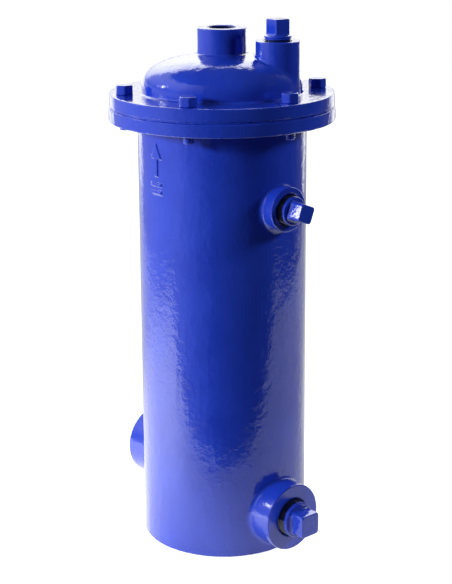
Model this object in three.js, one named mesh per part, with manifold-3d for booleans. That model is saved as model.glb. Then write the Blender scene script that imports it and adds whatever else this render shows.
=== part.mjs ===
// Inverted-bucket steam trap: an upright cast body with a bolted cover.
// Frame: millimetres, +Z up, origin at the centre of the flat base.
// +X points to the drain and side plugs, -X to the inlet, and the outlet is on top.
import * as THREE from 'three';
import { mergeVertices } from 'three/addons/utils/BufferGeometryUtils.js';
import Module from 'manifold-3d';

const wasm = await Module();
wasm.setup();

// Body casting.
const BODY_RADIUS = 77;
const CHAMBER_RADIUS = 68.5;
const FLOOR_THICKNESS = 10;
const BODY_FLANGE_RADIUS = 103;
const BODY_FLANGE_BOTTOM = 397;
const BODY_TOP = 409;
const EDGE = 1;
const FILLET = 5;

// Cover casting. The dome is a superellipse of revolution above the flange.
const GASKET_TOP = 410.2;
const GASKET_INNER_RADIUS = 69.5;
const GASKET_OUTER_RADIUS = 82.5;
const COVER_FLANGE_RADIUS = 102.1;
const COVER_FLANGE_TOP = 422;
const DOME_RADIUS = 73;
const DOME_SPRING = 424;
const DOME_RISE = 33.2;
const DOME_WALL = 8;
const DOME_SIDE_POWER = 2.2;
const DOME_CROWN_POWER = 2.75;
const DOME_STEPS = 8;

// Facets round a full turn: large castings, their hollows, bosses and small pieces.
const CASTING_FACETS = 56;
const HOLLOW_FACETS = 40;
const BOSS_FACETS = 32;
const SMALL_FACETS = 24;
const FINE_FACETS = 16;

// Raised flow mark on the wall that faces -Y: an upward arrow over two plain bars.
const MARK_RISE = 1.2;
const MARK_HALF_WIDTH = 6.5;
const ARROW_TIP = 384;
const ARROW_SHOULDER = 370;
const ARROW_FOOT = 354;
const ARROW_SHAFT_HALF_WIDTH = 2.2;
const BAR_HEIGHTS = [346.5, 339.5];
const BAR_HALF_THICKNESS = 1.4;

// Threaded ports. A 1 inch pipe plug closes the drain and 3/4 inch ones the others.
const OUTLET_TOP = 479.6;
const OUTLET_BOSS_RADIUS = 22.7;
const OUTLET_BORE_RADIUS = 12.6;
const OUTLET_BORE_BOTTOM = 430;
const INLET_FACE = 105;
const INLET_HEIGHT = 55;
const INLET_BOSS_RADIUS = 35;
const INLET_BORE_RADIUS = 15.2;
const INLET_BORE_DEPTH = 19;
const DRAIN_FACE = 95.5;
const DRAIN_HEIGHT = 37.5;
const DRAIN_BOSS_RADIUS = 31;
const SIDE_FACE = 88.5;
const SIDE_HEIGHT = 326.5;
const SIDE_BOSS_RADIUS = 20.4;
const TOP_PORT_ANGLE = 30;
const TOP_PORT_RADIUS = 52.6;
const TOP_PORT_TOP = 469.4;
const TOP_PORT_BOSS_RADIUS = 20.1;
const TOP_PORT_BOSS_BOTTOM = 416;
const BOSS_FLARE = 3.5;
const LARGE_PLUG = { radius: 16.6, flats: 20.6, neck: 8.3, head: 15, depth: 16 };
const SMALL_PLUG = { radius: 13, flats: 15.9, neck: 7.5, head: 15, depth: 14 };
const TOP_PLUG = { radius: 12.6, flats: 15.9, neck: 4.6, head: 14.5, depth: 14 };
const PLUG_GAP = 0.3;
// How much smaller in radius a port's inner end is than the bore its plug screws into.
const PORT_STEP = 2.2;
const SIDE_PLUG_TURN = 22;
const TOP_PLUG_TURN = 3;

// Cover screws.
const SCREW_COUNT = 6;
const SCREW_CIRCLE = 88.8;
const SCREW_FLATS = 15;
const SCREW_HEAD = 8.5;
const SCREW_RADIUS = 4.75;
const SCREW_END = 389.5;
const TAPPED_RADIUS = 5.05;
const CLEARANCE_RADIUS = 5.4;

// Valve, bracket and lever. The lever turns about a pin along Y.
const SEAT_X = -38;
const SEAT_MOUTH = 412.5;
const SEAT_HEX_BOTTOM = 414;
const SEAT_HEX_TOP = 421;
const SEAT_SHANK_TOP = 431;
const SEAT_FLATS = 22;
const SEAT_SHANK_RADIUS = 8;
const ORIFICE_RADIUS = 3;
const SEAT_MOUTH_RADIUS = 6;
const LUMP_BOTTOM = 424;
const LUMP_X = [-60, 20];
const LUMP_Y = [-20, 20];
const PASSAGE_HEIGHT = 437;
const PASSAGE_RADIUS = 6;
const PIVOT_X = -50;
const PIVOT_HEIGHT = 405;
const PIVOT_RADIUS = 2.5;
const PIN_GAP = 0.3;
const LEVER_LENGTH = 50;
const LEVER_HALF_WIDTH = 7;
const LEVER_HALF_THICKNESS = 1.5;
const OPEN_ANGLE = 12;
const HOOK_RADIUS = 2;
const EAR_INNER = 14;
const EAR_OUTER = 17;
const EAR_RADIUS = 7;
const BRACKET_X = [-60, -18];
const BRACKET_SCREW_X = -24;
const BRACKET_SCREW_Y = 12;
const BRACKET_SCREW_RADIUS = 2.5;
const BRACKET_SCREW_FLATS = 8;
const BRACKET_SCREW_BOTTOM = 417.5;
const BRACKET_SCREW_TOP = 432;
const HUB_RADIUS = 5.5;
const HUB_HALF_LENGTH = 12;
const FORK_RADIUS = 4.5;
const FORK_INNER = 3.2;
const FORK_LENGTH = 14;
const FORK_HALF_HEIGHT = 4;
const STEM_RADIUS = 2.5;
const STEM_BOTTOM = -6.5;
const VALVE_NUT_FLATS = 9;
const CLIP_RADIUS = 5;

// Bucket, hung open end down from the lever.
const BUCKET_RADIUS = 54;
const BUCKET_WALL = 1.5;
const BUCKET_BOTTOM = 110;
const BUCKET_TOP = 376;
const BUCKET_CORNER = 5;
const BUCKET_RIM = 1.5;
const VENT_RADIUS = 1.6;
const VENT_X = 30;
const HANGER_THICKNESS = 3;
const HANGER_EYE_RADIUS = 6;
const HANGER_FOOT_LENGTH = 36;
const HANGER_FOOT_THICKNESS = 2;
const RIVET_X = 13;
const RIVET_RADIUS = 2;
const RIVET_HEAD_RADIUS = 3.6;
const RIVET_HEAD_HEIGHT = 1.6;

// Inlet pipework inside the chamber.
const PIPE_RADIUS = 13.5;
const PIPE_BORE_RADIUS = 10.5;
const RISER_TOP = 150;
const ELBOW_WALL = 5;
const ELBOW_REACH = 32;
const ELBOW_TOP = 85;
const PIPE_END = 16;

const radians = THREE.MathUtils.degToRad;
const hookX = PIVOT_X + LEVER_LENGTH * Math.cos(radians(OPEN_ANGLE));
const hookHeight = PIVOT_HEIGHT - LEVER_LENGTH * Math.sin(radians(OPEN_ANGLE));

// A closed geometry as a solid, with its faces pointing out.
function solidOf(geometry) {
  const bare = geometry.clone();
  bare.deleteAttribute('normal');
  bare.deleteAttribute('uv');
  const merged = mergeVertices(bare, 1e-4);
  const corners = [];
  const index = merged.index.array;
  for (let i = 0; i < index.length; i += 3) {
    const [a, b, c] = index.slice(i, i + 3);
    if (a !== b && b !== c && c !== a) corners.push(a, b, c);
  }
  const make = (triVerts) => new wasm.Manifold(
    new wasm.Mesh({
      numProp: 3,
      vertProperties: merged.attributes.position.array,
      triVerts: new Uint32Array(triVerts),
    }),
  );
  const solid = make(corners);
  return solid.volume() < 0 ? make(corners.reverse()) : solid;
}

// A finished solid as a named mesh.
function meshOf(name, solid, look) {
  const { vertProperties, triVerts } = solid.getMesh();
  const geometry = new THREE.BufferGeometry();
  geometry.setAttribute('position', new THREE.BufferAttribute(vertProperties, 3));
  geometry.setIndex(new THREE.BufferAttribute(triVerts, 1));
  geometry.computeVertexNormals();
  const mesh = new THREE.Mesh(geometry, new THREE.MeshStandardMaterial(look));
  mesh.name = name;
  return mesh;
}

// A profile of [radius, height] pairs turned about Z.
function turned(profile, segments = SMALL_FACETS) {
  const points = profile.map(([r, h]) => new THREE.Vector2(r, h));
  const lathe = new THREE.LatheGeometry(points, segments);
  return lathe.rotateX(Math.PI / 2);
}

// A round bar along Z.
function barZ(radius, bottom, top, segments = SMALL_FACETS) {
  const bar = new THREE.CylinderGeometry(radius, radius, top - bottom, segments);
  return bar.rotateX(Math.PI / 2).translate(0, 0, (bottom + top) / 2);
}

// A round bar along X at a height.
function barX(radius, from, to, height, segments = SMALL_FACETS) {
  const bar = new THREE.CylinderGeometry(radius, radius, to - from, segments);
  return bar.rotateZ(Math.PI / 2).translate((from + to) / 2, 0, height);
}

// A round bar along Y through a point of the XZ plane.
function barY(radius, from, to, x, z, segments = FINE_FACETS) {
  const bar = new THREE.CylinderGeometry(radius, radius, to - from, segments);
  return bar.translate(x, (from + to) / 2, z);
}

function block(xs, ys, zs) {
  const box = new THREE.BoxGeometry(xs[1] - xs[0], ys[1] - ys[0], zs[1] - zs[0]);
  return box.translate((xs[0] + xs[1]) / 2, (ys[0] + ys[1]) / 2, (zs[0] + zs[1]) / 2);
}

// A hexagonal bar along Z, given across its flats, with a corner on X.
function hexBar(flats, bottom, top) {
  return barZ(flats / Math.sqrt(3), bottom, top, 6).rotateZ(Math.PI / 2);
}

function joined(...geometries) {
  return geometries.map(solidOf).reduce((sum, part) => sum.add(part));
}

function cut(solid, ...geometries) {
  return geometries.map(solidOf).reduce((left, part) => left.subtract(part), solid);
}

// Points of a dome's outline, from its spring line up to the axis.
function domeOutline(radius, spring, rise, steps) {
  const outline = [];
  for (let step = 0; step <= steps; step += 1) {
    const angle = (step / steps) * (Math.PI / 2);
    const r = radius * Math.max(0, Math.cos(angle)) ** (2 / DOME_SIDE_POWER);
    const z = spring + rise * Math.sin(angle) ** (2 / DOME_CROWN_POWER);
    outline.push([step === steps ? 0 : r, z]);
  }
  return outline;
}

// A boss that stands out from the body along X, flared where it meets the wall.
function sideBoss(radius, face) {
  const flare = radius + BOSS_FLARE;
  const root = BODY_RADIUS - 20;
  const profile = [
    [0, root],
    [flare, root],
    [flare, BODY_RADIUS - 1],
    [radius, BODY_RADIUS + BOSS_FLARE],
    [radius, face - EDGE],
    [radius - EDGE, face],
    [0, face],
  ];
  return turned(profile, BOSS_FACETS).rotateY(Math.PI / 2);
}

// Both diameters of a port's bore: room for the plug, then the way into the chamber.
function portBores(radius, face, depth, height) {
  return [
    barX(radius, face - depth, face + 2, height),
    barX(radius - PORT_STEP, CHAMBER_RADIUS - 10, face - depth + 1, height),
  ];
}

// The flow mark, cut to an even height above the curved wall.
function flowMark() {
  const arrow = new THREE.Shape();
  arrow.moveTo(-ARROW_SHAFT_HALF_WIDTH, ARROW_FOOT);
  arrow.lineTo(ARROW_SHAFT_HALF_WIDTH, ARROW_FOOT);
  arrow.lineTo(ARROW_SHAFT_HALF_WIDTH, ARROW_SHOULDER);
  arrow.lineTo(MARK_HALF_WIDTH, ARROW_SHOULDER);
  arrow.lineTo(0, ARROW_TIP);
  arrow.lineTo(-MARK_HALF_WIDTH, ARROW_SHOULDER);
  arrow.lineTo(-ARROW_SHAFT_HALF_WIDTH, ARROW_SHOULDER);
  arrow.closePath();
  const depth = 12;
  const raised = new THREE.ExtrudeGeometry(arrow, { depth, bevelEnabled: false });
  raised.rotateX(Math.PI / 2).translate(0, depth - BODY_RADIUS - 4, 0);
  const across = [-MARK_HALF_WIDTH, MARK_HALF_WIDTH];
  const bars = BAR_HEIGHTS.map((height) => block(
    across,
    [-BODY_RADIUS - 4, depth - BODY_RADIUS - 4],
    [height - BAR_HALF_THICKNESS, height + BAR_HALF_THICKNESS],
  ));
  const [, lowest] = BAR_HEIGHTS;
  const skin = barZ(BODY_RADIUS + MARK_RISE, lowest - 5, ARROW_TIP + 5, CASTING_FACETS);
  return joined(raised, ...bars).intersect(solidOf(skin));
}

function screwHoles(radius, bottom, top) {
  const holes = [];
  for (let k = 0; k < SCREW_COUNT; k += 1) {
    const angle = (k / SCREW_COUNT) * 2 * Math.PI;
    const hole = barZ(radius, bottom, top, FINE_FACETS);
    holes.push(hole.translate(SCREW_CIRCLE, 0, 0).rotateZ(angle));
  }
  return holes;
}

function bodyCasting() {
  const wall = turned([
    [0, 0],
    [BODY_RADIUS - EDGE, 0],
    [BODY_RADIUS, EDGE],
    [BODY_RADIUS, BODY_FLANGE_BOTTOM - FILLET],
    [BODY_RADIUS + 1.5, BODY_FLANGE_BOTTOM - 1.5],
    [BODY_RADIUS + FILLET, BODY_FLANGE_BOTTOM],
    [BODY_FLANGE_RADIUS - EDGE, BODY_FLANGE_BOTTOM],
    [BODY_FLANGE_RADIUS, BODY_FLANGE_BOTTOM + EDGE],
    [BODY_FLANGE_RADIUS, BODY_TOP - EDGE],
    [BODY_FLANGE_RADIUS - EDGE, BODY_TOP],
    [0, BODY_TOP],
  ], CASTING_FACETS);
  const chamber = turned([
    [0, FLOOR_THICKNESS],
    [CHAMBER_RADIUS - 6, FLOOR_THICKNESS],
    [CHAMBER_RADIUS, FLOOR_THICKNESS + 6],
    [CHAMBER_RADIUS, BODY_TOP + 1],
    [0, BODY_TOP + 1],
  ], HOLLOW_FACETS);
  const drain = sideBoss(DRAIN_BOSS_RADIUS, DRAIN_FACE).translate(0, 0, DRAIN_HEIGHT);
  const side = sideBoss(SIDE_BOSS_RADIUS, SIDE_FACE).translate(0, 0, SIDE_HEIGHT);
  const inlet = sideBoss(INLET_BOSS_RADIUS, INLET_FACE).rotateZ(Math.PI);
  inlet.translate(0, 0, INLET_HEIGHT);
  const outside = joined(wall, drain, side, inlet).add(flowMark());
  return cut(
    outside,
    chamber,
    ...portBores(LARGE_PLUG.radius + PLUG_GAP, DRAIN_FACE, LARGE_PLUG.depth + 2, DRAIN_HEIGHT),
    ...portBores(SMALL_PLUG.radius + PLUG_GAP, SIDE_FACE, SMALL_PLUG.depth + 2, SIDE_HEIGHT),
    barX(INLET_BORE_RADIUS, -INLET_FACE - 2, INLET_BORE_DEPTH - INLET_FACE, INLET_HEIGHT),
    barX(PIPE_RADIUS + PIN_GAP, 1 - INLET_FACE, 10 - CHAMBER_RADIUS, INLET_HEIGHT),
    ...screwHoles(TAPPED_RADIUS, BODY_FLANGE_BOTTOM - 4, BODY_TOP + 1),
  );
}

// The cover's outside without its hollow.
function coverOutside() {
  const flange = [
    [0, GASKET_TOP],
    [COVER_FLANGE_RADIUS - EDGE, GASKET_TOP],
    [COVER_FLANGE_RADIUS, GASKET_TOP + EDGE],
    [COVER_FLANGE_RADIUS, COVER_FLANGE_TOP - EDGE],
    [COVER_FLANGE_RADIUS - EDGE, COVER_FLANGE_TOP],
    [DOME_RADIUS + 3, COVER_FLANGE_TOP],
    [DOME_RADIUS + 0.6, COVER_FLANGE_TOP + 0.8],
  ];
  const dome = domeOutline(DOME_RADIUS, DOME_SPRING, DOME_RISE, DOME_STEPS);
  return turned([...flange, ...dome], CASTING_FACETS);
}

function coverHollow() {
  const radius = DOME_RADIUS - DOME_WALL;
  return turned([
    [0, GASKET_TOP - 1],
    [radius, GASKET_TOP - 1],
    ...domeOutline(radius, DOME_SPRING, DOME_RISE - DOME_WALL, DOME_STEPS - 3),
  ], HOLLOW_FACETS);
}

// Places a shape made on the Z axis at the top port.
function atTopPort(geometry) {
  const angle = radians(TOP_PORT_ANGLE);
  const x = TOP_PORT_RADIUS * Math.cos(angle);
  return geometry.translate(x, TOP_PORT_RADIUS * Math.sin(angle), 0);
}

function uprightBoss(radius, bottom, top) {
  return turned([
    [0, bottom],
    [radius + 0.4, bottom],
    [radius, top - EDGE],
    [radius - EDGE, top],
    [0, top],
  ], BOSS_FACETS);
}

// Clearance holes for the two screws that hold the lever bracket.
function bracketScrewHoles(bottom, top) {
  const radius = BRACKET_SCREW_RADIUS + PIN_GAP;
  const sides = [-BRACKET_SCREW_Y, BRACKET_SCREW_Y];
  return sides.map((y) => barZ(radius, bottom, top, FINE_FACETS).translate(BRACKET_SCREW_X, y, 0));
}

function coverCasting() {
  const outside = solidOf(coverOutside());
  const lump = solidOf(block(LUMP_X, LUMP_Y, [LUMP_BOTTOM, OUTLET_TOP]));
  const outletBoss = uprightBoss(OUTLET_BOSS_RADIUS, DOME_SPRING + 20, OUTLET_TOP);
  const topBoss = uprightBoss(TOP_PORT_BOSS_RADIUS, TOP_PORT_BOSS_BOTTOM, TOP_PORT_TOP);
  const bossed = outside.add(solidOf(outletBoss)).add(solidOf(atTopPort(topBoss)));
  const shell = cut(bossed, coverHollow());
  const plugRadius = TOP_PLUG.radius + PLUG_GAP;
  const plugBottom = TOP_PORT_TOP - TOP_PLUG.depth - 2;
  return cut(
    shell.add(lump.intersect(outside)),
    barZ(OUTLET_BORE_RADIUS, OUTLET_BORE_BOTTOM, OUTLET_TOP + 2),
    barX(PASSAGE_RADIUS, SEAT_X - 2, 0, PASSAGE_HEIGHT, SMALL_FACETS),
    barZ(SEAT_SHANK_RADIUS + PIN_GAP, LUMP_BOTTOM - 1, PASSAGE_HEIGHT).translate(SEAT_X, 0, 0),
    ...bracketScrewHoles(LUMP_BOTTOM - 1, BRACKET_SCREW_TOP + 1),
    atTopPort(barZ(plugRadius, plugBottom, TOP_PORT_TOP + 2)),
    atTopPort(barZ(plugRadius - PORT_STEP, LUMP_BOTTOM, plugBottom + 1)),
    ...screwHoles(CLEARANCE_RADIUS, GASKET_TOP - 1, COVER_FLANGE_TOP + 1),
  );
}

function coverGasket() {
  const ring = [
    [GASKET_INNER_RADIUS, BODY_TOP],
    [GASKET_OUTER_RADIUS, BODY_TOP],
    [GASKET_OUTER_RADIUS, GASKET_TOP],
    [GASKET_INNER_RADIUS, GASKET_TOP],
    [GASKET_INNER_RADIUS, BODY_TOP],
  ];
  return solidOf(turned(ring, HOLLOW_FACETS));
}

// One hexagon-head screw on the Z axis, its head chamfered at the top.
function coverScrew() {
  const top = COVER_FLANGE_TOP + SCREW_HEAD;
  const corner = SCREW_FLATS / Math.sqrt(3);
  const cap = turned([
    [0, COVER_FLANGE_TOP],
    [corner + 1, COVER_FLANGE_TOP],
    [corner + 1, top - 2],
    [SCREW_FLATS / 2, top],
    [0, top],
  ], SMALL_FACETS);
  const head = solidOf(hexBar(SCREW_FLATS, COVER_FLANGE_TOP, top)).intersect(solidOf(cap));
  const shank = turned([
    [0, SCREW_END],
    [SCREW_RADIUS - 0.8, SCREW_END],
    [SCREW_RADIUS, SCREW_END + 0.8],
    [SCREW_RADIUS, COVER_FLANGE_TOP + 1],
    [0, COVER_FLANGE_TOP + 1],
  ], FINE_FACETS);
  return head.add(solidOf(shank));
}

// A pipe plug on the Z axis whose port face is at zero: shank, collar and square head.
function pipePlug({ radius, flats, neck, head, depth }) {
  const shank = turned([
    [0, -depth],
    [radius - 1, -depth],
    [radius, 1 - depth],
    [radius, neck - 1],
    [radius - 1, neck],
    [0, neck],
  ]);
  const top = neck + head;
  const square = solidOf(block([-flats / 2, flats / 2], [-flats / 2, flats / 2], [neck - 1, top]));
  const rounding = turned([
    [0, neck - 1],
    [flats * 0.66, neck - 1],
    [flats * 0.66, top - 2],
    [flats * 0.56, top],
    [0, top],
  ], SMALL_FACETS);
  return solidOf(shank).add(square.intersect(solidOf(rounding)));
}

function valveSeat() {
  const body = joined(
    barZ(SEAT_SHANK_RADIUS, SEAT_HEX_TOP - 1, SEAT_SHANK_TOP),
    hexBar(SEAT_FLATS, SEAT_HEX_BOTTOM, SEAT_HEX_TOP),
    barZ(SEAT_MOUTH_RADIUS, SEAT_MOUTH, SEAT_HEX_BOTTOM + 1),
  );
  return cut(body, barZ(ORIFICE_RADIUS, SEAT_MOUTH - 1, SEAT_SHANK_TOP + 1));
}

function leverBracket() {
  const ears = [];
  for (const side of [-1, 1]) {
    const [from, to] = [side * EAR_INNER, side * EAR_OUTER].sort((a, b) => a - b);
    const across = [PIVOT_X - EAR_RADIUS, PIVOT_X + EAR_RADIUS];
    ears.push(block(across, [from, to], [PIVOT_HEIGHT, LUMP_BOTTOM]));
    ears.push(barY(EAR_RADIUS, from, to, PIVOT_X, PIVOT_HEIGHT, SMALL_FACETS));
  }
  const plate = block(BRACKET_X, LUMP_Y, [SEAT_HEX_TOP, LUMP_BOTTOM]);
  const seatHole = barZ(SEAT_SHANK_RADIUS + PIN_GAP, SEAT_HEX_TOP - 1, LUMP_BOTTOM + 1);
  return cut(
    joined(plate, ...ears),
    seatHole.translate(SEAT_X, 0, 0),
    ...bracketScrewHoles(SEAT_HEX_TOP - 1, LUMP_BOTTOM + 1),
    barY(PIVOT_RADIUS + PIN_GAP, -EAR_OUTER - 1, EAR_OUTER + 1, PIVOT_X, PIVOT_HEIGHT),
  );
}

function bracketScrew() {
  const head = hexBar(BRACKET_SCREW_FLATS, BRACKET_SCREW_BOTTOM, SEAT_HEX_TOP);
  return joined(head, barZ(BRACKET_SCREW_RADIUS, SEAT_HEX_TOP - 1, BRACKET_SCREW_TOP, FINE_FACETS));
}

function pivotPin() {
  return solidOf(barY(PIVOT_RADIUS, -EAR_OUTER - 3, EAR_OUTER + 3, PIVOT_X, PIVOT_HEIGHT));
}

// A spring clip round the pivot pin: a ring with a gap at its lower side.
function pivotClip(side) {
  const ring = new THREE.Shape();
  ring.absarc(0, 0, CLIP_RADIUS, radians(-60), radians(240), false);
  ring.absarc(0, 0, PIVOT_RADIUS + PIN_GAP, radians(240), radians(-60), true);
  ring.closePath();
  const clip = new THREE.ExtrudeGeometry(ring, { depth: 1, bevelEnabled: false, curveSegments: 16 });
  clip.rotateX(Math.PI / 2).translate(0, 0.5, 0);
  return solidOf(clip.translate(PIVOT_X, side * (EAR_OUTER + 0.8), PIVOT_HEIGHT));
}

// The lever along +X from its pivot: hub, flat bar and a fork for the hook pin.
function leverArm() {
  const half = LEVER_HALF_THICKNESS;
  const width = LEVER_HALF_WIDTH;
  const parts = [
    barY(HUB_RADIUS, -HUB_HALF_LENGTH, HUB_HALF_LENGTH, 0, 0),
    block([2, LEVER_LENGTH - FORK_LENGTH + 2], [-width, width], [-half, half]),
  ];
  for (const side of [-1, 1]) {
    const [from, to] = [side * FORK_INNER, side * width].sort((a, b) => a - b);
    const along = [LEVER_LENGTH - FORK_LENGTH, LEVER_LENGTH];
    parts.push(block(along, [from, to], [-FORK_HALF_HEIGHT, FORK_HALF_HEIGHT]));
    parts.push(barY(FORK_RADIUS, from, to, LEVER_LENGTH, 0, SMALL_FACETS));
  }
  const reach = HUB_HALF_LENGTH + 1;
  return cut(
    joined(...parts),
    barY(PIVOT_RADIUS + PIN_GAP, -reach, reach, 0, 0),
    barY(HOOK_RADIUS + PIN_GAP, -reach, reach, LEVER_LENGTH, 0),
    barZ(STEM_RADIUS + PIN_GAP, -3, 3, FINE_FACETS).translate(SEAT_X - PIVOT_X, 0, 0),
  );
}

function hookPin() {
  const half = LEVER_HALF_WIDTH + 1.6;
  const head = 1.2;
  return joined(
    barY(HOOK_RADIUS, -half, half, LEVER_LENGTH, 0),
    barY(HOOK_RADIUS + 1.4, half - head, half, LEVER_LENGTH, 0),
    barY(HOOK_RADIUS + 1.4, -half, head - half, LEVER_LENGTH, 0),
  );
}

// The valve: a rounded head above the lever and a threaded stem through it.
function valveHead() {
  const collar = 6;
  const ball = 5;
  const centre = SEAT_MOUTH - PIVOT_HEIGHT - 4.3;
  const steps = 6;
  const profile = [
    [0, STEM_BOTTOM],
    [STEM_RADIUS, STEM_BOTTOM],
    [STEM_RADIUS, LEVER_HALF_THICKNESS],
    [collar, LEVER_HALF_THICKNESS],
    [collar, 2 * LEVER_HALF_THICKNESS],
  ];
  for (let step = 1; step <= steps; step += 1) {
    const angle = (step / steps) * (Math.PI / 2);
    profile.push([step === steps ? 0 : ball * Math.cos(angle), centre + ball * Math.sin(angle)]);
  }
  return solidOf(turned(profile).translate(SEAT_X - PIVOT_X, 0, 0));
}

function valveNut() {
  const bottom = STEM_BOTTOM + 1.5;
  const hex = solidOf(hexBar(VALVE_NUT_FLATS, bottom, -LEVER_HALF_THICKNESS));
  const hole = barZ(STEM_RADIUS + PIN_GAP, bottom - 1, 0, FINE_FACETS);
  return cut(hex, hole).translate([SEAT_X - PIVOT_X, 0, 0]);
}

// The bucket: a thin inverted cup with a beaded rim and a small vent in its top.
function bucketCup() {
  const inner = BUCKET_RADIUS - BUCKET_WALL;
  const rim = BUCKET_RADIUS + BUCKET_RIM;
  const cup = turned([
    [0, BUCKET_TOP - BUCKET_WALL],
    [inner - 4, BUCKET_TOP - BUCKET_WALL],
    [inner, BUCKET_TOP - BUCKET_WALL - 4],
    [inner, BUCKET_BOTTOM],
    [rim, BUCKET_BOTTOM],
    [rim, BUCKET_BOTTOM + 5],
    [BUCKET_RADIUS, BUCKET_BOTTOM + 5 + BUCKET_RIM],
    [BUCKET_RADIUS, BUCKET_TOP - BUCKET_CORNER],
    [BUCKET_RADIUS - BUCKET_CORNER, BUCKET_TOP],
    [0, BUCKET_TOP],
  ], HOLLOW_FACETS);
  const low = BUCKET_TOP - BUCKET_WALL - 1;
  const vent = barZ(VENT_RADIUS, low, BUCKET_TOP + 1, FINE_FACETS).translate(VENT_X, 0, 0);
  return cut(solidOf(cup), ...rivetHoles(low, BUCKET_TOP + 1), vent);
}

function rivetHoles(bottom, top) {
  const radius = RIVET_RADIUS + PIN_GAP;
  return [-RIVET_X, RIVET_X].map((x) => barZ(radius, bottom, top, FINE_FACETS).translate(x, 0, 0));
}

// The hanger: a foot on the bucket's top and an upright eye for the hook pin.
function bucketHanger() {
  const footTop = BUCKET_TOP + HANGER_FOOT_THICKNESS;
  const along = [-HANGER_FOOT_LENGTH / 2, HANGER_FOOT_LENGTH / 2];
  const thickness = [-HANGER_THICKNESS / 2, HANGER_THICKNESS / 2];
  const foot = block(along, [-LEVER_HALF_WIDTH, LEVER_HALF_WIDTH], [BUCKET_TOP, footTop]);
  const web = block([-HANGER_EYE_RADIUS, HANGER_EYE_RADIUS], thickness, [footTop - 1, hookHeight]);
  const eye = barY(HANGER_EYE_RADIUS, ...thickness, 0, hookHeight);
  return cut(
    joined(foot, web, eye),
    barY(HOOK_RADIUS + PIN_GAP, -HANGER_THICKNESS, HANGER_THICKNESS, 0, hookHeight),
    ...rivetHoles(BUCKET_TOP - 1, footTop + 1),
  );
}

function hangerRivet() {
  const low = BUCKET_TOP - BUCKET_WALL;
  const high = BUCKET_TOP + HANGER_FOOT_THICKNESS;
  return joined(
    barZ(RIVET_RADIUS, low - 1, high + 1, FINE_FACETS),
    barZ(RIVET_HEAD_RADIUS, high, high + RIVET_HEAD_HEIGHT, FINE_FACETS),
    barZ(RIVET_HEAD_RADIUS, low - RIVET_HEAD_HEIGHT, low, FINE_FACETS),
  );
}

function inletNipple() {
  const from = INLET_BORE_DEPTH - INLET_FACE;
  const tube = solidOf(barX(PIPE_RADIUS, from, -PIPE_END, INLET_HEIGHT));
  return cut(tube, barX(PIPE_BORE_RADIUS, from - 1, 1 - PIPE_END, INLET_HEIGHT));
}

// The elbow that turns the inlet pipe up, with a socket for each tube.
function inletElbow() {
  const outer = PIPE_RADIUS + ELBOW_WALL;
  const socket = PIPE_RADIUS + PIN_GAP;
  const stop = PIPE_END - PIN_GAP;
  const ball = new THREE.SphereGeometry(outer, SMALL_FACETS, FINE_FACETS).rotateX(Math.PI / 2);
  const body = joined(
    barX(outer, -ELBOW_REACH, 0, INLET_HEIGHT),
    barZ(outer, INLET_HEIGHT, ELBOW_TOP),
    ball.translate(0, 0, INLET_HEIGHT),
  );
  return cut(
    body,
    barX(socket, -ELBOW_REACH - 1, -stop, INLET_HEIGHT),
    barX(PIPE_BORE_RADIUS, -stop - 1, 0, INLET_HEIGHT),
    barZ(PIPE_BORE_RADIUS, INLET_HEIGHT, ELBOW_TOP + 1),
    barZ(socket, INLET_HEIGHT + stop, ELBOW_TOP + 1),
  );
}

function riserTube() {
  const bottom = INLET_HEIGHT + PIPE_END;
  const tube = solidOf(barZ(PIPE_RADIUS, bottom, RISER_TOP));
  return cut(tube, barZ(PIPE_BORE_RADIUS, bottom - 1, RISER_TOP + 1));
}

const PAINT = { color: 0x2438b4, roughness: 0.22, metalness: 0.1 };
const STEEL = { color: 0xb4b6b8, roughness: 0.32, metalness: 0.9 };
const HARD_STEEL = { color: 0xa2a4a8, roughness: 0.25, metalness: 0.95 };
const PIPE_STEEL = { color: 0x8c8a86, roughness: 0.5, metalness: 0.8 };
const GASKET = { color: 0x3a3a3c, roughness: 0.85, metalness: 0 };

const trap = new THREE.Group();

function place(mesh, x = 0, y = 0, z = 0) {
  mesh.position.set(x, y, z);
  trap.add(mesh);
  return mesh;
}

place(meshOf('body_casting', bodyCasting(), PAINT));
place(meshOf('cover_casting', coverCasting(), PAINT));
place(meshOf('cover_gasket', coverGasket(), GASKET));

for (let k = 0; k < SCREW_COUNT; k += 1) {
  const angle = (k / SCREW_COUNT) * 2 * Math.PI;
  const screw = meshOf(`cover_screw_${k + 1}`, coverScrew(), PAINT);
  place(screw, SCREW_CIRCLE * Math.cos(angle), SCREW_CIRCLE * Math.sin(angle));
  screw.rotation.z = radians(-30 - 11 * Math.cos(2.8 * k));
}

const drainPlug = meshOf('drain_plug', pipePlug(LARGE_PLUG), PAINT);
drainPlug.rotation.set(0, Math.PI / 2, 0);
place(drainPlug, DRAIN_FACE, 0, DRAIN_HEIGHT);

const sidePlug = meshOf('side_plug', pipePlug(SMALL_PLUG), PAINT);
sidePlug.rotation.set(radians(-SIDE_PLUG_TURN), Math.PI / 2, 0);
place(sidePlug, SIDE_FACE, 0, SIDE_HEIGHT);

const coverPlug = meshOf('cover_plug', pipePlug(TOP_PLUG), PAINT);
coverPlug.rotation.z = radians(-TOP_PLUG_TURN);
const portX = TOP_PORT_RADIUS * Math.cos(radians(TOP_PORT_ANGLE));
const portY = TOP_PORT_RADIUS * Math.sin(radians(TOP_PORT_ANGLE));
place(coverPlug, portX, portY, TOP_PORT_TOP);

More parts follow.
